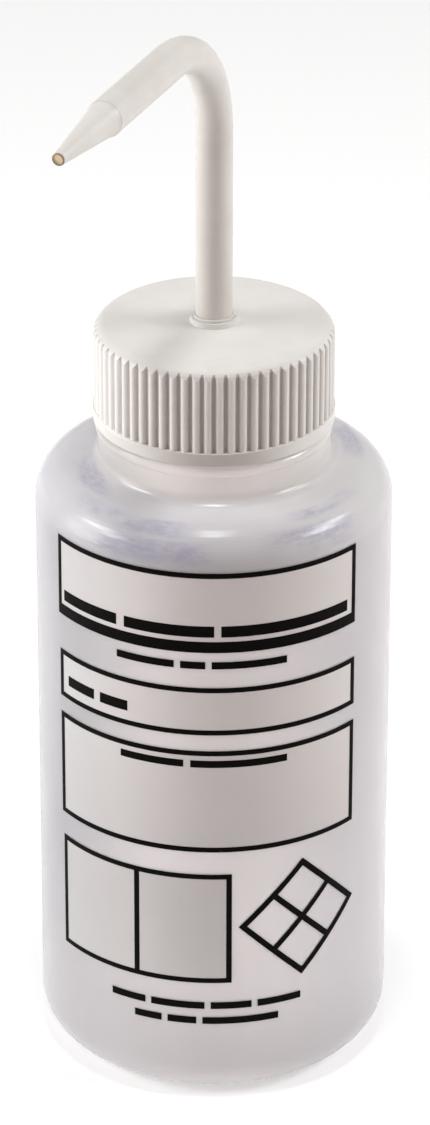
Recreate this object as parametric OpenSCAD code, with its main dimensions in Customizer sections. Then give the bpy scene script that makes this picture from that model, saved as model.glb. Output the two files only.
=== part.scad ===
// Squeeze wash bottle, 500 ml class, with a ribbed screw closure, a venting insert and a swan-neck spout.
// Millimetres, +Z up. The origin is on the bottle's axis, on the plane it stands on.
// The front of the bottle faces -Y, and the spout points forward and to the left.

/* [Bottle] */

// Outside diameter of the body
body_d = 76; // [70:0.5:84]
// Height of the straight wall, where the shoulder's round begins
shoulder_z = 128.9; // [110:0.5:150]
// Radius of the round between wall and shoulder
shoulder_round = 8.85; // [6:0.05:12]
// Slope of the shoulder above level, in degrees
shoulder_slope = 8.25; // [4:0.25:14]
// Radius of the round between wall and base
base_round = 9; // [5:0.5:12]
// How far the middle of the base is pushed up
push_up = 2; // [1:0.25:4]
// Wall thickness of the blown body
wall = 1.3; // [1:0.1:2]

/* [Neck] */

// Outside radius of the plain collar under the closure
collar_r = 24.6; // [24:0.1:25]
// Radius of the round where collar and shoulder meet
collar_round = 2.5; // [1.5:0.1:3.5]
// Outside radius of the bead round the collar
bead_r = 25.05; // [24.9:0.05:25.4]
// Height from the shoulder's round up to the bead's middle
bead_rise = 16.5; // [15.5:0.1:17]
// Outside radius of the threaded finish, without the thread
finish_r = 21.8; // [21.5:0.05:21.9]
// Radius of the mouth
mouth_r = 20.2; // [19.8:0.05:20.3]
// Height of the lip above the bead's middle
lip_rise = 18; // [17:0.1:18]

/* [Thread] */

// Rise of the thread in one turn
thread_pitch = 4; // [3.6:0.1:4.4]
// Turns of thread on the neck and in the cap
thread_turns = 1.75; // [1.25:0.25:2]

/* [Cap] */

// Radius over the tips of the grip ribs
rib_tip_r = 25.4; // [25.2:0.05:25.6]
// Number of grip ribs
rib_count = 64; // [40:1:70]
// Radius of each rounded rib
rib_r = 0.95; // [0.7:0.05:1]
// Radius of the plain band under the ribs
band_r = 25.6; // [25.5:0.05:26]
// Height of the plain band
band_h = 2.9; // [2:0.1:4]
// Height of the cap, without its boss
cap_h = 21.2; // [20.6:0.1:22]
// Rise of the slightly domed top
dome_h = 0.6; // [0.2:0.1:0.8]

/* [Spout] */

// Outside radius of the delivery tube
tube_r = 3.9; // [3.7:0.05:4]
// Bore radius of the delivery tube
tube_bore_r = 2.6; // [2.2:0.05:2.8]
// Height of the level arm above the top of the cap
arm_rise = 67.2; // [50:0.1:80]
// Bend radius of the swan neck, on the centre line
bend_r = 23.2; // [15:0.1:30]
// Length of the straight arm beyond the bend
arm_len = 32.2; // [20:0.1:50]
// Angle from the left towards the front at which the arm points
arm_turn = 67.2; // [0:0.1:90]
// Length of the tapered jet
jet_len = 21.9; // [15:0.1:30]
// Outside radius at the end of the jet
jet_end_r = 1.33; // [1.1:0.01:1.8]
// Radius of the hole at the end of the jet
jet_hole_r = 1; // [0.4:0.05:1]

/* [Dip tube and vent] */

// Outside radius of the dip tube
dip_r = 3; // [2.5:0.1:3.2]
// Bore radius of the dip tube
dip_bore_r = 2; // [1.5:0.1:2.1]
// Gap between the dip tube's lowest point and the inside of the base
dip_gap = 3; // [1:0.5:8]
// Radius of the vent ball
ball_r = 2.4; // [2.2:0.05:2.45]
// Distance that the vent ball travels to its seat
ball_travel = 1.5; // [1:0.1:2]
// Distance of the vent from the bottle's axis
vent_x = 12; // [11:0.1:13]

/* [Hidden] */

$fn = 96;

// Colours
milky = [0.83, 0.83, 0.86];
ivory = [0.92, 0.91, 0.89];
tube_white = [0.88, 0.87, 0.84];
washer_grey = [0.78, 0.78, 0.76];
ball_steel = [0.72, 0.73, 0.75];

// Clearances
turn_gap = 0.3;      // between round faces that turn past each other
face_gap = 0.1;      // between flat faces that slide or part
swivel_gap = 0.05;   // running clearance of the delivery tube in its socket
hole_gap = 0.08;     // running clearance of the insert's sleeve in the hole of the cap
push_gap = 0.02;     // between pieces that are pushed together for good
eps = 0.01;

// Bottle
body_r = body_d / 2;
arc_steps = 16;
push_r = 21;
push_slope_w = 3;
bead_round = 1.3;
bead_z = shoulder_z + bead_rise;
bead_top = bead_z + bead_round;
lip_z = bead_z + lip_rise;
lip_chamfer = 0.5;
fillet_x = collar_r + collar_round * (1 - sin(shoulder_slope));
slope_start_x = body_r - shoulder_round * (1 - sin(shoulder_slope));
slope_start_z = shoulder_z + shoulder_round * cos(shoulder_slope);
fillet_z = slope_start_z + (slope_start_x - fillet_x) * tan(shoulder_slope)
    + collar_round * cos(shoulder_slope);

// Cap
cap_bottom = bead_z + 2;
cap_top = cap_bottom + cap_h;
top_wall = 2;
cap_ceiling = cap_top - top_wall;
skirt_r = 23.6;
groove_floor_r = 24.6;
edge_round = 2.2;
edge_x = rib_tip_r - edge_round;
edge_z = cap_top - edge_round;
edge_start = acos((groove_floor_r - edge_x) / edge_round);
rib_sink = 0.03;     // how far the ends of the ribs lie under the rounded edge
band_round = 0.3;
sleeve_r = tube_r + 0.45;
sleeve_top = cap_top + dome_h + 1.7;
cap_hole_r = sleeve_r + hole_gap;
boss_h = 1.1;
boss_top_r = cap_hole_r + 0.45;
boss_base_r = cap_hole_r + 0.75;
snap_r = 21.75;

// Thread
thread_steps = 30;
thread_buried = 0.4;
thread_half_crest = 0.35;
thread_flank = 0.8;  // width that each flank adds for every unit of height
neck_crest_r = skirt_r - 0.45;
cap_crest_r = finish_r + 0.45;
thread_fade = 40;    // degrees over which a thread grows out of its wall
neck_thread_z = bead_z + 7.2;
cap_thread_z = neck_thread_z - thread_pitch / 2;

// Insert
flange_top = cap_ceiling - face_gap;
flange_h = 1.8;
flange_bottom = flange_top - flange_h;
flange_r = 22.05;
plug_r = mouth_r - turn_gap;
plug_wall = 1.3;
plug_h = 6;
hub_r = 5.4;
socket_depth = 11.4;
web_h = 1.5;
web_hole_r = dip_bore_r;
dip_socket_h = 10;
web_top = flange_top - socket_depth;
hub_bottom = web_top - web_h - dip_socket_h;
washer_h = flange_bottom - lip_z - face_gap;
washer_in_r = plug_r + 0.1;
washer_out_r = 21.4;

// Vent
chamber_r = ball_r + 0.35;
chamber_out_r = chamber_r + 1.35;
seat_hole_r = ball_r / 2;
perch_hole_r = 1.4;
rest_gap = 0.03;
ball_closed_z = flange_bottom - sqrt(ball_r * ball_r - seat_hole_r * seat_hole_r) - rest_gap;
ball_z = ball_closed_z - ball_travel;
perch_z = ball_z - sqrt(ball_r * ball_r - perch_hole_r * perch_hole_r) - rest_gap;
cage_plug_h = 2.6;
cage_lip_h = 0.8;
cage_slot_w = 0.9;
chamber_bottom = perch_z - cage_plug_h;
channel_w = 1.6;
channel_h = 0.8;
channel_x = sleeve_r - 0.1;

// Spout
tube_bottom = web_top + face_gap;
arm_z = cap_top + arm_rise;
bend_z = arm_z - bend_r;
bend_overlap = 0.5;
bend_thinner = 0.05;
spigot_r = tube_bore_r - push_gap;
spigot_h = 8;
jet_step = 0.35;     // height of the small shoulder where the jet meets the tube
jet_mouth_r = 1.7;

// Dip tube
dip_bottom = push_up + wall + dip_gap;
dip_top = web_top - web_h - push_gap;

// Points of a circular arc from angle a0 to angle a1
function arc(x, y, r, a0, a1, n = arc_steps) =
    [for (i = [0:n]) [x + r * cos(a0 + (a1 - a0) * i / n), y + r * sin(a0 + (a1 - a0) * i / n)]];

// Outline of the body from the middle of the base up to the collar, moved inwards by t
function body_outline(t) = concat(
    [[0, push_up + t], [push_r - t, push_up + t], [push_r + push_slope_w - t, t]],
    arc(body_r - base_round, base_round, base_round - t, -90, 0),
    arc(body_r - shoulder_round, shoulder_z, shoulder_round - t, 0, 90 - shoulder_slope),
    arc(collar_r + collar_round, fillet_z, collar_round + t, 270 - shoulder_slope, 180, 8)
);

// Outline of the collar's bead and the plain finish above it
function finish_outline() = concat(
    arc(bead_r - bead_round, bead_z, bead_round,
        -acos((collar_r - bead_r + bead_round) / bead_round), 90, 10),
    [[finish_r + 0.6, bead_top], [finish_r, bead_top + 0.6], [finish_r, lip_z - lip_chamfer],
     [finish_r - lip_chamfer, lip_z], [0, lip_z]]
);

// Step in the hollow, from the wide body up to the narrower mouth
function mouth_outline() = [
    [collar_r - wall, bead_z - bead_round], [mouth_r, bead_top + wall], [mouth_r, lip_z + 1], [0, lip_z + 1]
];

// How much of its full height a thread has, a degrees along its run of last degrees
function thread_height(a, last) = min(1, a / thread_fade, (last - a) / thread_fade);

// The four corners of a thread's section at angle a: root, crest, crest, root
function thread_section(wall_r, root_r, crest_r, a, last) =
    let (
        side = sign(crest_r - wall_r),
        low = wall_r - side * thread_buried / 2,
        tip_r = low + (crest_r - low) * thread_height(a, last),
        rise = thread_pitch * a / 360,
        half_root = thread_half_crest + thread_flank * abs(tip_r - root_r)
    )
    [for (p = [[root_r, -half_root], [tip_r, -thread_half_crest],
               [tip_r, thread_half_crest], [root_r, half_root]])
        [p[0] * cos(a), p[0] * sin(a), rise + p[1]]];

// A helical ridge on a round wall, outwards when crest_r is over wall_r and inwards when it is under
module thread(wall_r, crest_r) {
    side = sign(crest_r - wall_r);
    root_r = wall_r - side * thread_buried;
    count = round(thread_turns * thread_steps);
    last = 360 * count / thread_steps;
    points = [for (i = [0:count]) each thread_section(wall_r, root_r, crest_r, last * i / count, last)];
    sides = [for (i = [0:count - 1]) for (j = [0:3]) each
        [[4 * i + j, 4 * i + (j + 1) % 4, 4 * (i + 1) + j],
         [4 * i + (j + 1) % 4, 4 * (i + 1) + (j + 1) % 4, 4 * (i + 1) + j]]];
    e = 4 * count;
    ends = [[2, 1, 0], [3, 2, 0], [e, e + 1, e + 2], [e, e + 2, e + 3]];
    faces = concat(sides, ends);
    polyhedron(points, side > 0 ? faces : [for (f = faces) [f[2], f[1], f[0]]]);
}

module bottle() {
    color(milky) {
        rotate_extrude() {
            difference() {
                polygon(concat(body_outline(0), finish_outline()));
                polygon(concat(body_outline(wall), mouth_outline()));
            }
        }
        translate([0, 0, neck_thread_z]) {
            thread(finish_r, neck_crest_r);
        }
    }
}

// Section of the cap without its ribs, with the boss that the spout comes out of
module cap_section() {
    polygon(concat(
        [[cap_hole_r, cap_ceiling], [skirt_r, cap_ceiling], [skirt_r, flange_bottom + 0.2],
         [snap_r, flange_bottom - 0.3], [snap_r, flange_bottom - 0.7], [skirt_r, flange_bottom - 1.6],
         [skirt_r, cap_bottom]],
        arc(band_r - band_round, cap_bottom + band_round, band_round, -90, 0, 4),
        [[band_r, cap_bottom + band_h], [groove_floor_r, cap_bottom + band_h]],
        arc(edge_x, edge_z, edge_round, edge_start, 90, 4),
        [[boss_base_r, cap_top + dome_h], [boss_top_r, cap_top + dome_h + boss_h],
         [cap_hole_r, cap_top + dome_h + boss_h]]
    ));
}

// Room that the ribs fill, rounded off at its top
module rib_room() {
    room_z = cap_bottom + band_h - 2 * eps;
    rotate_extrude() {
        polygon(concat(
            [[groove_floor_r - 0.3, room_z], [rib_tip_r + 0.3, room_z], [rib_tip_r + 0.3, edge_z]],
            arc(edge_x, edge_z - rib_sink, edge_round, 18, edge_start + 12, 4)
        ));
    }
}

// The grip ribs round the cap, which run out in its rounded edge
module grip_ribs() {
    intersection() {
        translate([0, 0, cap_bottom + band_h - eps]) {
            linear_extrude(cap_h - band_h) {
                for (i = [0:rib_count - 1]) {
                    rotate((i + 0.5) * 360 / rib_count) {
                        translate([rib_tip_r - rib_r, 0]) {
                            circle(rib_r);
                        }
                    }
                }
            }
        }
        rib_room();
    }
}

module screw_cap() {
    color(ivory) {
        rotate_extrude() {
            cap_section();
        }
        grip_ribs();
        translate([0, 0, cap_thread_z]) {
            thread(skirt_r, cap_crest_r);
        }
    }
}

// Flange, plug ring, hub and sleeve of the insert as one turned shape
module insert_section() {
    difference() {
        union() {
            translate([0, flange_bottom]) {
                square([flange_r, flange_h]);
            }
            translate([plug_r - plug_wall, flange_bottom - plug_h]) {
                square([plug_wall, plug_h + eps]);
            }
            translate([0, hub_bottom]) {
                square([hub_r, flange_bottom - hub_bottom + eps]);
            }
            translate([0, flange_bottom]) {
                square([sleeve_r, sleeve_top - flange_bottom]);
            }
        }
        translate([0, web_top]) {
            square([tube_r + swivel_gap, sleeve_top - web_top + 1]);
        }
        translate([0, hub_bottom - 1]) {
            square([web_hole_r, web_top - hub_bottom + 2]);
        }
        translate([0, hub_bottom - 1]) {
            square([dip_r + push_gap, dip_socket_h + 1]);
        }
    }
}

module closure_insert() {
    color(ivory) {
        difference() {
            union() {
                rotate_extrude() {
                    insert_section();
                }
                translate([vent_x, 0, chamber_bottom]) {
                    cylinder(r = chamber_out_r, h = flange_bottom - chamber_bottom + eps);
                }
            }
            translate([vent_x, 0, chamber_bottom - 1]) {
                cylinder(r = chamber_r, h = flange_bottom - chamber_bottom + 1);
            }
            translate([vent_x, 0, flange_bottom - 1]) {
                cylinder(r = seat_hole_r, h = flange_h + 2);
            }
            translate([channel_x, -channel_w / 2, flange_top - channel_h]) {
                cube([vent_x - channel_x, channel_w, channel_h + 1]);
            }
        }
    }
}

module sealing_washer() {
    color(washer_grey) {
        translate([0, 0, flange_bottom - washer_h]) {
            difference() {
                cylinder(r = washer_out_r, h = washer_h);
                translate([0, 0, -1]) {
                    cylinder(r = washer_in_r, h = washer_h + 2);
                }
            }
        }
    }
}

module vent_cage() {
    color(tube_white) {
        translate([vent_x, 0, 0]) {
            difference() {
                union() {
                    translate([0, 0, chamber_bottom - push_gap - eps]) {
                        cylinder(r = chamber_r - push_gap, h = cage_plug_h + push_gap + eps);
                    }
                    translate([0, 0, chamber_bottom - cage_lip_h - push_gap]) {
                        cylinder(r = chamber_out_r, h = cage_lip_h);
                    }
                }
                translate([0, 0, chamber_bottom - 2]) {
                    cylinder(r = perch_hole_r, h = cage_plug_h + 3);
                }
                for (a = [0, 90]) {
                    rotate(a) {
                        translate([-chamber_r + 0.35, -cage_slot_w / 2, chamber_bottom - 2]) {
                            cube([2 * chamber_r - 0.7, cage_slot_w, cage_plug_h + 3]);
                        }
                    }
                }
            }
        }
    }
}

module vent_ball() {
    color(ball_steel) {
        translate([vent_x, 0, ball_z]) {
            sphere(r = ball_r);
        }
    }
}

module dip_tube() {
    color(tube_white) {
        difference() {
            translate([0, 0, dip_bottom]) {
                cylinder(r = dip_r, h = dip_top - dip_bottom);
            }
            translate([0, 0, dip_bottom - 1]) {
                cylinder(r = dip_bore_r, h = dip_top - dip_bottom + 2);
            }
            translate([-dip_r - 1, 0, dip_bottom]) {
                rotate([0, 45, 0]) {
                    translate([0, -dip_r - 1, -20]) {
                        cube([20, 2 * dip_r + 2, 40]);
                    }
                }
            }
        }
    }
}

// Places a child that runs along +X from the arm's start at the end of the bend
module on_arm(along) {
    rotate([0, 0, 180 + arm_turn]) {
        translate([bend_r + along, 0, arm_z]) {
            rotate([0, 90, 0]) {
                children();
            }
        }
    }
}

// The swan neck's path filled to radius r: upright stretch, quarter bend and level arm.
// The straight stretches run a little way into the bend, which is a hair thinner.
module swan_neck(r, more) {
    translate([0, 0, tube_bottom - more]) {
        cylinder(r = r, h = bend_z - tube_bottom + more + bend_overlap);
    }
    rotate([0, 0, 180 + arm_turn]) {
        translate([bend_r, 0, bend_z]) {
            rotate([90, 0, 0]) {
                rotate([0, 0, 90]) {
                    rotate_extrude(angle = 90) {
                        translate([bend_r, 0]) {
                            circle(r - bend_thinner);
                        }
                    }
                }
            }
        }
    }
    on_arm(-bend_overlap) {
        cylinder(r = r, h = arm_len + more + bend_overlap);
    }
}

module delivery_tube() {
    color(tube_white) {
        difference() {
            swan_neck(tube_r, 0);
            swan_neck(tube_bore_r, 1);
        }
    }
}

module jet_tip() {
    color(tube_white) {
        on_arm(arm_len + push_gap) {
            rotate_extrude() {
                polygon([
                    [spigot_r - 0.3, -spigot_h], [spigot_r, -spigot_h + 0.3], [spigot_r, 0], [tube_r, 0],
                    [tube_r - jet_step, jet_step + 0.9], [jet_end_r, jet_len - 0.15],
                    [jet_end_r - 0.15, jet_len], [jet_hole_r, jet_len], [jet_hole_r, jet_len - 4],
                    [jet_mouth_r, -spigot_h]
                ]);
            }
        }
    }
}

bottle();
screw_cap();
closure_insert();
sealing_washer();
vent_cage();
vent_ball();
dip_tube();
delivery_tube();
jet_tip();
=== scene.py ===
"""Wash bottle: materials, printed panel, floor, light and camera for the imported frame.

Lengths are in metres, and angles are in radians unless a name says degrees. The bottle stands on
z = 0 with its axis on Z, and its printed front faces -Y.
"""
import math

import bpy
from mathutils import Matrix, Vector


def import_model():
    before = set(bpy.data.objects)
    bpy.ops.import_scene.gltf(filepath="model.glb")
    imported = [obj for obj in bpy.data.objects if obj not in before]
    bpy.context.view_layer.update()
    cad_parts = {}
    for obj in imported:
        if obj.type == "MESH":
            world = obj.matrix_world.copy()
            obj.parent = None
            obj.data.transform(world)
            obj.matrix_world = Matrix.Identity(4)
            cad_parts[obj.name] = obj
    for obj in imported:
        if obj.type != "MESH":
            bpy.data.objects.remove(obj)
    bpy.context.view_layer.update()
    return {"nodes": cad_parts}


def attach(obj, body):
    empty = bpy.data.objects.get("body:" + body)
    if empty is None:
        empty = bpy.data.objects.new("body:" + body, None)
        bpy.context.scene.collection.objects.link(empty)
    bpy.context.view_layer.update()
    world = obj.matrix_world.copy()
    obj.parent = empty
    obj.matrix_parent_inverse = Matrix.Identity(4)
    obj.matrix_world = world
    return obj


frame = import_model()
nodes = frame["nodes"]

MM = 0.001
BODY_R = 38.0 * MM
CAP_BOTTOM = 147.4 * MM
CAP_TOP = 168.6 * MM
ARM_Z = 235.8 * MM
ARM_TURN = math.radians(67.2)
ARM_DIR = Vector((-math.cos(ARM_TURN), -math.sin(ARM_TURN), 0.0))
BEND_R = 23.2 * MM
JET_START = BEND_R + 32.2 * MM
JET_END = JET_START + 21.9 * MM

# the printed fields and the lines over them lie just outside the body's wall
FIELD_R = BODY_R + 0.03 * MM
PRINT_R = BODY_R + 0.06 * MM


# ---------------------------------------------------------------- materials


class Look:
    """A material with one Principled shader and short ways to add nodes to it."""

    def __init__(self, name, color, roughness):
        self.mat = bpy.data.materials.new(name)
        self.mat.use_nodes = True
        self.tree = self.mat.node_tree
        self.shader = self.tree.nodes["Principled BSDF"]
        self.set("Base Color", (*color, 1.0))
        self.set("Roughness", roughness)
        self.mat.diffuse_color = (*color, 1.0)

    def set(self, socket, value):
        self.shader.inputs[socket].default_value = value

    def link(self, source, socket):
        self.tree.links.new(source, self.shader.inputs[socket])

    def node(self, kind, links=(), **settings):
        """A new node. links holds (input, output socket or value) pairs, settings its properties."""
        n = self.tree.nodes.new(kind)
        for key, value in settings.items():
            setattr(n, key, value)
        for name, source in links:
            if hasattr(source, "is_output"):
                self.tree.links.new(source, n.inputs[name])
            else:
                n.inputs[name].default_value = source
        return n

    def place(self):
        """The point on the object."""
        return self.node("ShaderNodeTexCoord").outputs["Object"]

    def split(self):
        """x, y and z of the point on the object."""
        return self.node("ShaderNodeSeparateXYZ", [(0, self.place())]).outputs

    def noise(self, scale, detail=2.0, roughness=0.5, stretch=(1.0, 1.0, 1.0), at=None):
        """Noise from 0 to 1, at the point on the object or at another point."""
        point = self.node("ShaderNodeMapping", [("Vector", at or self.place()), ("Scale", stretch)])
        n = self.node(
            "ShaderNodeTexNoise",
            [("Vector", point.outputs[0]), ("Scale", scale), ("Detail", detail), ("Roughness", roughness)],
        )
        return n.outputs["Fac"]

    def band(self, value, low, high, to_low=0.0, to_high=1.0):
        """A smooth step, from to_low where value is low to to_high where it is high."""
        n = self.node(
            "ShaderNodeMapRange",
            [(0, value), (1, low), (2, high), (3, to_low), (4, to_high)],
            interpolation_type="SMOOTHSTEP",
        )
        return n.outputs[0]

    def math(self, operation, a, b=0.0):
        return self.node("ShaderNodeMath", [(0, a), (1, b)], operation=operation).outputs[0]

    def times(self, first, *others):
        """The product of all the values."""
        product = first
        for value in others:
            product = self.math("MULTIPLY", product, value)
        return product

    def plus(self, a, b):
        return self.math("ADD", a, b)

    def distance(self, a, b):
        """The distance of a point from the origin of two axes."""
        return self.math("SQRT", self.plus(self.math("POWER", a, 2.0), self.math("POWER", b, 2.0)))

    def mix(self, factor, a, b):
        """Colour a turning into colour b as factor rises."""
        n = self.node("ShaderNodeMix", data_type="RGBA")
        for index, source in ((0, factor), (6, a), (7, b)):
            if hasattr(source, "is_output"):
                self.tree.links.new(source, n.inputs[index])
            else:
                n.inputs[index].default_value = source if index == 0 else (*source, 1.0)
        return n.outputs[2]

    def mottled(self, light, shade):
        """The flow mottling of moulded plastic, between two colours."""
        return self.mix(self.band(self.noise(140.0, 4.0, 0.6), 0.35, 0.7), light, shade)

    def bump(self, height, strength, distance):
        n = self.node(
            "ShaderNodeBump", [("Height", height), ("Strength", strength), ("Distance", distance)]
        )
        self.link(n.outputs[0], "Normal")


# smudges on the shoulder: from and to, in radians to the right of its front, then the radii in mm
HAZE = (
    (-0.95, -0.20, 31.8, 35.2),
    (-0.75, -0.02, 35.8, 39.0),
    (0.55, 1.05, 31.2, 33.6),
    (0.36, 0.92, 35.0, 39.0),
    (-1.65, -0.85, 25.6, 30.4),
    (1.60, 2.10, 27.5, 32.0),
)
HAZE_TURN_EDGE = 0.15
HAZE_EDGE = 0.7
HAZE_BOTTOM = (0.1295, 0.1320)
HAZE_DEPTH = 0.52
HAZE_COLOR = (0.37, 0.355, 0.51)


def haze(look, x, y, z):
    """How smudged the shoulder is, in streaks that run along its girth."""
    turn = look.math("ARCTAN2", x, look.times(y, -1.0))
    r = look.distance(x, y)
    zones = 0.0
    for left, right, inner, outer in HAZE:
        across = look.times(
            look.band(turn, left - HAZE_TURN_EDGE, left + HAZE_TURN_EDGE),
            look.band(turn, right + HAZE_TURN_EDGE, right - HAZE_TURN_EDGE),
        )
        along = look.times(
            look.band(r, (inner - HAZE_EDGE) * MM, (inner + HAZE_EDGE) * MM),
            look.band(r, (outer + HAZE_EDGE) * MM, (outer - HAZE_EDGE) * MM),
        )
        zones = look.math("MAXIMUM", zones, look.times(across, along))
    zones = look.times(zones, look.band(z, *HAZE_BOTTOM))
    girth_point = look.node(
        "ShaderNodeCombineXYZ", [(0, look.times(turn, BODY_R)), (1, r), (2, z)]
    ).outputs[0]
    coarse = look.band(look.noise(75.0, 3.0, 0.5, (1.0, 2.5, 2.5), girth_point), 0.36, 0.60)
    fine = look.band(look.noise(420.0, 3.0, 0.6, (1.0, 3.0, 3.0), girth_point), 0.30, 0.65)
    streaks = look.times(coarse, look.plus(look.times(fine, 0.6), 0.4))
    return look.times(look.times(zones, streaks), HAZE_DEPTH)


FILM_COLOR = (0.80, 0.79, 0.84)
# painted shade: darker tones for the left and right of the body's wall and of its shoulder
SHADED_WALL_LEFT = (0.43, 0.425, 0.445)
SHADED_WALL_RIGHT = (0.61, 0.585, 0.605)
# painted light on the front middle of the body
PAINTED_LIGHT_MIDDLE = (0.92, 0.87, 0.875)
SHADED_TOP_LEFT = (0.64, 0.635, 0.665)
SHADED_TOP_RIGHT = (0.70, 0.685, 0.69)
CLOUD_COLOR = (0.76, 0.74, 0.765)
# painted shade at the foot, and painted light low on its left
FOOT_PAINTED_SHADE = (0.45, 0.43, 0.43)
FOOT_LEFT_PAINTED_LIGHT = (0.64, 0.61, 0.615)
# painted light on the neck, with painted shade on its left and right
NECK_PAINTED_LIGHT = (0.80, 0.765, 0.745)
NECK_LEFT_PAINTED_SHADE = (0.56, 0.545, 0.53)
NECK_RIGHT_PAINTED_SHADE = (0.70, 0.675, 0.66)
# colour and strength of the painted glow on the neck and on the front middle of the body, standing in for
# light through the wall
FILM_PAINTED_GLOW = (1.0, 0.93, 0.90)
NECK_PAINTED_GLOW = 0.07
NECK_FRONT_PAINTED_GLOW = 0.12
MIDDLE_PAINTED_GLOW = 0.08
# Subsurface Scale stays near the wall's thickness. A longer one loses light through the thin wall.
FILM_SCATTER = 0.0015


def bottle_look():
    """Milky squeeze plastic: lavender grey with violet smudges on the shoulder, and painted light and
    shade by place: painted shade on its sides and at its foot, painted light low on the left, and a paler,
    warmer front middle and neck that are painted light with a painted glow.
    """
    look = Look("milky_film", FILM_COLOR, 0.3)
    look.set("Subsurface Weight", 1.0)
    look.set("Subsurface Radius", (1.0, 0.95, 1.0))
    look.set("Subsurface Scale", FILM_SCATTER)
    look.set("Specular IOR Level", 0.4)
    look.set("Emission Color", (*FILM_PAINTED_GLOW, 1.0))
    x, y, z = look.split()
    beside = look.math("ABSOLUTE", x)

    # painted shade that changes from the left of the body to its right, on the wall and on the shoulder
    side = look.band(x, -0.03, 0.03)
    wall = look.mix(side, SHADED_WALL_LEFT, SHADED_WALL_RIGHT)
    top = look.mix(side, SHADED_TOP_LEFT, SHADED_TOP_RIGHT)
    tone = look.mix(look.band(z, 0.127, 0.134), wall, top)
    cloud = look.band(look.noise(26.0, 3.0, 0.5, (1.0, 1.0, 0.5)), 0.3, 0.7)
    tone = look.mix(look.times(cloud, 0.25), tone, CLOUD_COLOR)

    # painted light: the front middle of the body is painted paler and warmer, and given a painted glow
    middle = look.times(
        look.band(beside, 0.034, 0.006),
        look.band(y, 0.0, -0.02),
        look.band(z, 0.128, 0.112),
        look.band(z, 0.0, 0.045, 0.35, 1.0),
    )
    tone = look.mix(look.times(middle, 0.85), tone, PAINTED_LIGHT_MIDDLE)

    # painted shade towards the foot, stronger on the right, then painted light low on the left
    foot = look.times(look.band(z, 0.030, 0.0), look.band(x, -0.03, 0.03, 0.1, 0.45))
    tone = look.mix(foot, tone, FOOT_PAINTED_SHADE)
    foot_left_light = look.times(look.band(z, 0.055, 0.020), look.band(x, 0.004, -0.018, 0.0, 0.4))
    tone = look.mix(foot_left_light, tone, FOOT_LEFT_PAINTED_LIGHT)
    tone = look.mix(haze(look, x, y, z), tone, HAZE_COLOR)

    # painted light: the neck is painted pale, with painted shade on its left and right sides
    neck = look.band(z, 0.1375, 0.1415)
    tone = look.mix(neck, tone, NECK_PAINTED_LIGHT)
    tone = look.mix(look.times(neck, look.band(x, -0.008, -0.022)), tone, NECK_LEFT_PAINTED_SHADE)
    tone = look.mix(look.times(neck, look.band(x, 0.006, 0.020)), tone, NECK_RIGHT_PAINTED_SHADE)
    look.link(tone, "Base Color")

    # painted glow: on the neck, strongest at its front, and on the front middle of the body
    neck_front = look.band(beside, 0.022, 0.004)
    neck_painted_glow = look.times(neck, look.plus(look.times(neck_front, NECK_FRONT_PAINTED_GLOW), NECK_PAINTED_GLOW))
    look.link(look.plus(neck_painted_glow, look.times(middle, MIDDLE_PAINTED_GLOW)), "Emission Strength")
    look.link(look.band(look.noise(90.0, 4.0, 0.6), 0.3, 0.7, 0.19, 0.262), "Roughness")
    wave = look.plus(look.noise(40.0, 2.0), look.times(look.noise(700.0, 2.0), 0.01))
    look.bump(wave, 0.12, 0.0010)
    return look.mat


def moulded_look(name, light, shade, grain, roughness, paint=None):
    """Injection-moulded plastic with a faint flow mottling and a fine grain.

    paint is a function of the look and its mottled tone, which returns the tone to use.
    """
    look = Look(name, light, roughness)
    look.set("Subsurface Weight", 0.08)
    look.set("Subsurface Radius", (0.004, 0.0035, 0.003))
    look.set("Subsurface Scale", 0.5)
    look.set("Specular IOR Level", 0.4)
    tone = look.mottled(light, shade)
    look.link(paint(look, tone) if paint else tone, "Base Color")
    polish = look.band(look.noise(320.0, 3.0, 0.6), 0.3, 0.7, roughness - 0.05, roughness + 0.07)
    look.link(polish, "Roughness")
    look.bump(look.noise(grain, 3.0, 0.6), 0.12, 0.0003)
    return look.mat


# painted light on the left of the cap's skirt
CAP_PAINTED_LIGHT = (0.93, 0.915, 0.89)
# painted shade in the grooves between the ribs
GROOVE_SHADE_COLOR = (0.46, 0.40, 0.37)
GROOVE_SHADE_DEPTH = 0.6
# painted shade on the front of the band below the ribs
BAND_SHADE_COLOR = (0.50, 0.43, 0.42)
BAND_SHADE_DEPTH = 0.5


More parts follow.
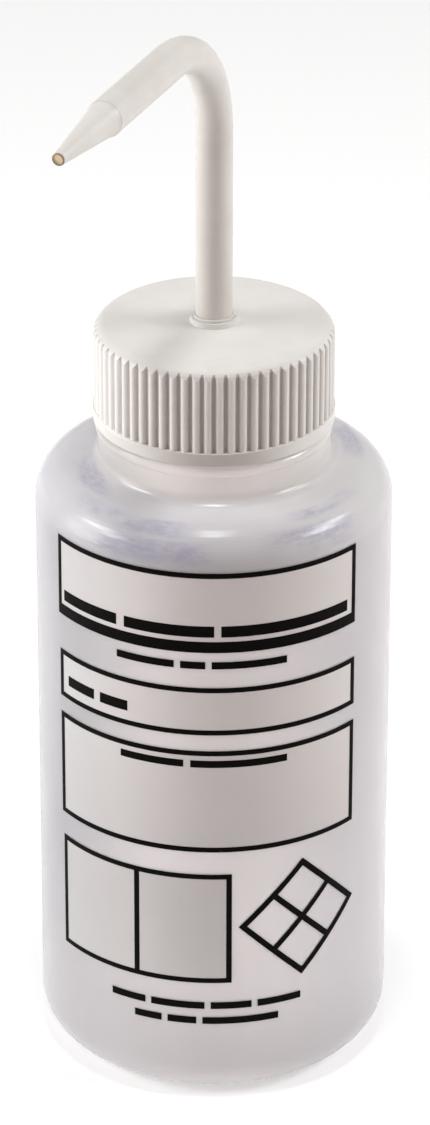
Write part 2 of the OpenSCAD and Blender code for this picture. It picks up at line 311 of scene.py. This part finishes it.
def cap_paint(look, tone):
    """Painted shade in the grooves between the ribs, painted light on the left of the skirt and painted
    shade on the front of the band.
    """
    x, y, z = look.split()
    r = look.distance(x, y)
    # painted shade in the grooves, weaker towards the left and right of the front
    groove_shade = look.times(
        look.band(r, 25.3 * MM, 24.75 * MM),
        look.band(z, CAP_TOP - 0.8 * MM, CAP_TOP - 1.5 * MM),
        look.band(z, CAP_BOTTOM + 2.7 * MM, CAP_BOTTOM + 2.95 * MM),
        look.band(r, 24.4 * MM, 24.55 * MM),
    )
    groove_shade_reach = look.times(look.band(x, -0.024, -0.010), look.band(x, 0.025, 0.012, 0.5, 1.0))
    groove_shade_reach = look.math("MAXIMUM", groove_shade_reach, look.band(y, -0.006, 0.004))
    # painted light on the left of the skirt
    bright = look.times(
        look.band(x, -0.013, -0.0225),
        look.band(z, CAP_TOP - 0.5 * MM, CAP_TOP - 2.0 * MM),
        look.band(z, CAP_BOTTOM + 2.0 * MM, CAP_BOTTOM + 3.2 * MM),
        look.band(y, -0.001, -0.009),
    )
    # painted shade on the front of the band below the ribs
    band_front_shade = look.times(
        look.band(z, CAP_BOTTOM + 2.95 * MM, CAP_BOTTOM + 2.8 * MM),
        look.band(look.math("ABSOLUTE", x), 0.018, 0.004),
    )
    tone = look.mix(bright, tone, CAP_PAINTED_LIGHT)
    tone = look.mix(look.times(groove_shade, look.times(groove_shade_reach, GROOVE_SHADE_DEPTH)), tone, GROOVE_SHADE_COLOR)
    return look.mix(look.times(band_front_shade, BAND_SHADE_DEPTH), tone, BAND_SHADE_COLOR)


JET_BORE_R = 1.06 * MM
SEAM_COLOR = (0.42, 0.37, 0.33)
SEAM_DEPTH = 0.35
CUT_RIM_COLOR = (0.33, 0.26, 0.22)
# painted light and painted glow in the hole at the end of the jet
BORE_PAINTED_LIGHT = (0.80, 0.72, 0.58)
BORE_PAINTED_GLOW_COLOR = (1.0, 0.86, 0.66)
BORE_PAINTED_GLOW = 0.22


def jet_paint(look, tone):
    """A fine line at the joint with the tube, and a brown cut rim round the hole at the end, which is
    painted pale with a painted glow as if lit through the tube.
    """
    x, y, z = look.split()
    along = look.plus(look.times(x, ARM_DIR.x), look.times(y, ARM_DIR.y))
    across = look.math("SUBTRACT", look.times(y, ARM_DIR.x), look.times(x, ARM_DIR.y))
    from_axis = look.distance(across, look.math("SUBTRACT", z, ARM_Z))
    seam = look.band(along, JET_START + 0.55 * MM, JET_START + 0.1 * MM)
    tone = look.mix(look.times(seam, SEAM_DEPTH), tone, SEAM_COLOR)
    end = look.band(along, JET_END - 0.35 * MM, JET_END - 0.12 * MM)
    tone = look.mix(end, tone, CUT_RIM_COLOR)
    # painted light: the hole at the end is painted pale and given a painted glow
    bore_light = look.times(
        look.band(from_axis, JET_BORE_R, JET_BORE_R - 0.04 * MM),
        look.band(along, JET_END - 0.6 * MM, JET_END - 1.2 * MM),
    )
    look.set("Emission Color", (*BORE_PAINTED_GLOW_COLOR, 1.0))
    look.link(look.times(bore_light, BORE_PAINTED_GLOW), "Emission Strength")
    return look.mix(bore_light, tone, BORE_PAINTED_LIGHT)


def field_look():
    """Pale opaque ink, a little uneven, with painted shade that makes it a little darker to the right and
    darker to the left and towards the foot.
    """
    look = Look("field_ink", (0.71, 0.695, 0.69), 0.42)
    look.set("Specular IOR Level", 0.4)
    uneven = look.band(look.noise(60.0, 4.0, 0.6), 0.3, 0.7)
    tone = look.mix(uneven, (0.765, 0.728, 0.718), (0.795, 0.758, 0.748))
    x, _, z = look.split()
    # painted shade: a little darker to the right, darker to the left and darker towards the foot
    tone = look.mix(look.band(x, -0.01, 0.03), tone, (0.745, 0.70, 0.685))
    tone = look.mix(look.band(x, -0.014, -0.034), tone, (0.63, 0.62, 0.62))
    tone = look.mix(look.band(z, 0.10, 0.045, 0.0, 0.32), tone, (0.36, 0.35, 0.35))
    look.link(tone, "Base Color")
    look.link(look.band(look.noise(250.0, 3.0), 0.3, 0.7, 0.38, 0.5), "Roughness")
    return look.mat


def steel_look():
    """Bright steel of the vent ball."""
    look = Look("ball_steel", (0.62, 0.63, 0.65), 0.2)
    look.set("Metallic", 1.0)
    look.link(look.band(look.noise(1500.0, 2.0), 0.3, 0.7, 0.14, 0.26), "Roughness")
    return look.mat


def ink_look():
    """Black printing ink with a few slightly faded spots."""
    look = Look("print_ink", (0.003, 0.003, 0.003), 0.5)
    look.set("Specular IOR Level", 0.05)
    look.link(look.band(look.noise(700.0, 3.0), 0.3, 0.7, 0.45, 0.6), "Roughness")
    fade = look.band(look.noise(420.0, 4.0, 0.65), 0.62, 0.85)
    look.link(look.mix(fade, (0.003, 0.0025, 0.002), (0.014, 0.013, 0.013)), "Base Color")
    return look.mat


def dress(names, mat):
    """Gives these CAD nodes one material."""
    for name in names:
        for material_slot in nodes[name].material_slots:
            material_slot.material = mat


# ---------------------------------------------------------------- printed panel

STEP = 0.8 * MM


def on_wall(along, height, r):
    """The point on the body's wall at a distance along its girth and a height."""
    angle = along / BODY_R
    return (r * math.sin(angle), -r * math.cos(angle), height)


def girth(degrees):
    """Distance along the body's girth, from its front, for an angle to the right."""
    return math.radians(degrees) * BODY_R


class Print:
    """Thin curved patches on the wall, gathered into one mesh."""

    def __init__(self, radius=PRINT_R):
        self.radius = radius
        self.points = []
        self.faces = []

    def quad(self, corners, steps):
        """A four-cornered patch, split into strips from its last side to its second."""
        a, b, c, d = (Vector(p) for p in corners)
        start = len(self.points)
        for i in range(steps + 1):
            t = i / steps
            for p in (a.lerp(b, t), d.lerp(c, t)):
                self.points.append(on_wall(p.x, p.y, self.radius))
        for i in range(steps):
            k = start + 2 * i
            self.faces.append((k, k + 2, k + 3, k + 1))

    def bar(self, left, right, low, high):
        """A level bar between two distances along the girth."""
        steps = max(1, math.ceil((right - left) / STEP))
        self.quad(((left, low), (right, low), (right, high), (left, high)), steps)

    def stroke(self, start, end, width):
        """A straight line of that width from start to end."""
        a, b = Vector(start), Vector(end)
        side = (b - a).normalized().orthogonal() * width / 2
        steps = max(1, math.ceil((b - a).length / STEP))
        self.quad((a - side, b - side, b + side, a + side), steps)

    def frame(self, left, right, low, high, foot):
        """A box outline. foot is the thickness of its bottom line."""
        self.bar(left, right, high - LINE, high)
        self.bar(left, right, low, low + foot)
        self.bar(left, left + LINE, low + foot, high - LINE)
        self.bar(right - LINE, right, low + foot, high - LINE)

    def piece(self, name, mat):
        mesh = bpy.data.meshes.new(name)
        mesh.from_pydata(self.points, [], self.faces)
        mesh.materials.append(mat)
        mesh.shade_smooth()
        o = bpy.data.objects.new(name, mesh)
        bpy.context.scene.collection.objects.link(o)
        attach(o, "bottle")


LINE = 1.2 * MM
TOP_FOOT = 2.6 * MM
LEFT = girth(-59.0)
RIGHT = girth(51.3)
# left, right, low and high edge of each box, from the top one down
BOXES = (
    (LEFT, RIGHT, 110.45 * MM, 129.03 * MM),
    (LEFT + 0.4 * MM, RIGHT, 90.82 * MM, 102.13 * MM),
    (LEFT + 0.5 * MM, RIGHT, 62.39 * MM, 87.02 * MM),
    (LEFT + 1.0 * MM, girth(6.0), 29.86 * MM, 56.9 * MM),
)
DIVIDER = girth(-25.5)
DIAMOND = Vector((girth(30.1), 43.65 * MM))
DIAMOND_HALF = 9.6 * MM
DIAMOND_LINE = 1.35 * MM
# low and high edge in mm, then where each bar starts and ends, in degrees round the body
BAR_ROWS = (
    (114.1, 116.7, ((-55.7, -32.3), (-29.5, 0.2), (2.4, 47.4))),
    (106.6, 108.3, ((-32.2, -12.6), (-10.6, -2.6), (-0.6, 23.8))),
    (94.2, 96.6, ((-53.8, -41.5), (-39.0, -28.4))),
    (83.0, 84.7, ((-31.0, -9.6), (-7.4, 24.1))),
    (23.3, 25.0, ((-34.9, -22.6), (-20.6, -2.8), (-0.8, 12.6), (14.6, 29.7))),
    (19.5, 21.2, ((-26.4, -17.0), (-15.0, -5.5), (-3.5, 21.7))),
)


def printed_fields(ink):
    """The opaque pale fields inside the boxes and the diamond."""
    art = Print(FIELD_R)
    inset = LINE / 2
    for left, right, low, high in BOXES:
        art.bar(left + inset, right - inset, low + inset, high - inset)
    r = DIAMOND_HALF * math.sqrt(2.0)
    corners = [DIAMOND + Vector(offset) for offset in ((-r, 0), (0, -r), (r, 0), (0, r))]
    art.quad(corners, 24)
    art.piece("print_fields", ink)


def printed_boxes(ink):
    """The box outlines, the top one with a thick foot and the lowest one with a divider."""
    art = Print()
    for i, box in enumerate(BOXES):
        art.frame(*box, TOP_FOOT if i == 0 else LINE)
    _, _, low, high = BOXES[-1]
    art.bar(DIVIDER - LINE / 2, DIVIDER + LINE / 2, low + LINE, high - LINE)
    art.piece("print_boxes", ink)


def printed_diamond(ink):
    """A tilted square of four cells. Its strokes meet without lying over each other."""
    art = Print()
    half_line = DIAMOND_LINE / 2
    u = Vector((1.0, 1.0)).normalized()
    v = Vector((-u.y, u.x))
    outer = DIAMOND_HALF + half_line
    inner = DIAMOND_HALF - half_line
    for k in (-1, 0, 1):
        middle = DIAMOND + k * DIAMOND_HALF * v
        art.stroke(middle - outer * u, middle + outer * u, DIAMOND_LINE)
    for k in (-1, 1):
        middle = DIAMOND + k * DIAMOND_HALF * u
        art.stroke(middle - inner * v, middle + inner * v, DIAMOND_LINE)
    for k in (-1, 1):
        art.stroke(DIAMOND + k * half_line * v, DIAMOND + k * inner * v, DIAMOND_LINE)
    art.piece("print_diamond", ink)


def printed_bars(ink):
    """Plain bars, where a label would have its words."""
    art = Print()
    for low, high, words in BAR_ROWS:
        for a, b in words:
            art.bar(girth(a), girth(b), low * MM, high * MM)
    art.piece("print_bars", ink)


# ---------------------------------------------------------------- set

FLOOR_HALF = 6.0
FLOOR_COLOR = (0.85, 0.85, 0.85)
FLOOR_BACK = (0.87, 0.87, 0.87)
FLOOR_FRONT = (0.56, 0.50, 0.48)
BACK_GLOW = 0.33
FRONT_GLOW = 0.3


def floor():
    """A pale floor that is brightest behind the bottle and softer in front of it."""
    look = Look("floor_white", FLOOR_COLOR, 0.9)
    look.set("Specular IOR Level", 0.0)
    look.set("Emission Color", (1.0, 1.0, 1.0, 1.0))
    y = look.split()[1]
    back = look.band(y, -0.30, -0.04)
    far_front = look.band(y, -0.30, -0.75)
    look.link(look.mix(back, FLOOR_FRONT, FLOOR_BACK), "Base Color")
    glow = look.plus(look.times(back, BACK_GLOW), look.times(far_front, FRONT_GLOW))
    look.link(glow, "Emission Strength")
    mesh = bpy.data.meshes.new("floor")
    corners = [(i * FLOOR_HALF, j * FLOOR_HALF, 0) for i, j in ((-1, -1), (1, -1), (1, 1), (-1, 1))]
    mesh.from_pydata(corners, [], [(0, 1, 2, 3)])
    mesh.materials.append(look.mat)
    o = bpy.data.objects.new("floor", mesh)
    bpy.context.scene.collection.objects.link(o)


WORLD_FRONT = (0.115, 0.078, 0.068)
WORLD_BACK = (0.40, 0.40, 0.40)


def world():
    """A grey room that is darker and warmer in front of the bottle."""
    room = bpy.data.worlds.new("studio")
    room.use_nodes = True
    tree = room.node_tree
    background = tree.nodes["Background"]
    background.inputs["Strength"].default_value = 1.0
    direction = tree.nodes.new("ShaderNodeTexCoord")
    parts = tree.nodes.new("ShaderNodeSeparateXYZ")
    front = tree.nodes.new("ShaderNodeMapRange")
    front.interpolation_type = "SMOOTHSTEP"
    front.inputs[1].default_value = -0.9
    front.inputs[2].default_value = 0.1
    shade = tree.nodes.new("ShaderNodeMix")
    shade.data_type = "RGBA"
    shade.inputs[6].default_value = (*WORLD_FRONT, 1.0)
    shade.inputs[7].default_value = (*WORLD_BACK, 1.0)
    tree.links.new(direction.outputs["Generated"], parts.inputs[0])
    tree.links.new(parts.outputs[1], front.inputs[0])
    tree.links.new(front.outputs[0], shade.inputs[0])
    tree.links.new(shade.outputs[2], background.inputs["Color"])
    bpy.context.scene.world = room


# name, place, the height on the bottle's axis that it aims at, width, height and watts
SOFTBOXES = (
    ("left_box", (-0.85, -0.13, 0.63), 0.13, 0.52, 0.18, 4.1),
    ("right_box", (0.81, -0.05, 0.69), 0.13, 0.46, 0.15, 4.2),
    ("top_box", (0.0, -0.12, 1.1), 0.15, 0.1, 0.1, 2.0),
    ("left_fill", (-0.95, -0.05, 0.24), 0.14, 0.5, 0.4, 2.6),
    ("right_fill", (0.95, -0.05, 0.22), 0.14, 0.5, 0.4, 0.4),
)


def softbox(name, place, aim_height, width, height, power):
    data = bpy.data.lights.new(name, "AREA")
    data.shape = "RECTANGLE"
    data.size = width
    data.size_y = height
    data.energy = power
    o = bpy.data.objects.new(name, data)
    o.location = place
    aim = Vector((0.0, 0.0, aim_height)) - Vector(place)
    o.rotation_euler = aim.to_track_quat("-Z", "Y").to_euler()
    bpy.context.scene.collection.objects.link(o)


CAMERA_PLACE = (0.00027, -1.0143, 0.63796)
CAMERA_DOWN_DEGREES = 27.41
CAMERA_ROLL_DEGREES = 0.083
CAMERA_SENSOR = 36.0
CAMERA_LENS = 170.69


def camera():
    data = bpy.data.cameras.new("camera")
    data.sensor_fit = "VERTICAL"
    data.sensor_height = CAMERA_SENSOR
    data.sensor_width = CAMERA_SENSOR
    data.lens = CAMERA_LENS
    data.clip_start = 0.05
    data.clip_end = 50.0
    o = bpy.data.objects.new("camera", data)
    tilt = Matrix.Rotation(math.radians(90.0 - CAMERA_DOWN_DEGREES), 4, "X")
    roll = Matrix.Rotation(math.radians(CAMERA_ROLL_DEGREES), 4, "Z")
    o.matrix_world = Matrix.Translation(CAMERA_PLACE) @ tilt @ roll
    bpy.context.scene.collection.objects.link(o)
    bpy.context.scene.camera = o


def main():
    camera()
    floor()
    world()
    for box in SOFTBOXES:
        softbox(*box)
    bpy.context.scene.view_settings.view_transform = "Standard"
    dress(["bottle"], bottle_look())
    # light and shaded colour, grain and roughness of each moulded plastic
    cap = moulded_look(
        "ivory_cap", (0.815, 0.795, 0.76), (0.785, 0.76, 0.72), 1800.0, 0.4, cap_paint
    )
    dress(["screw_cap"], cap)
    insert = moulded_look("ivory_insert", (0.83, 0.81, 0.785), (0.80, 0.775, 0.745), 1800.0, 0.4)
    dress(["closure_insert"], insert)
    tube = moulded_look("tube_white", (0.77, 0.742, 0.70), (0.735, 0.702, 0.655), 2200.0, 0.34)
    dress(["delivery_tube", "dip_tube", "vent_cage"], tube)
    jet = moulded_look(
        "jet_white", (0.80, 0.775, 0.735), (0.76, 0.73, 0.685), 2200.0, 0.36, jet_paint
    )
    dress(["jet_tip"], jet)
    foam = moulded_look("washer_foam", (0.56, 0.56, 0.54), (0.5, 0.5, 0.48), 3000.0, 0.7)
    dress(["sealing_washer"], foam)
    dress(["vent_ball"], steel_look())
    ink = ink_look()
    printed_fields(field_look())
    printed_boxes(ink)
    printed_diamond(ink)
    printed_bars(ink)


main()
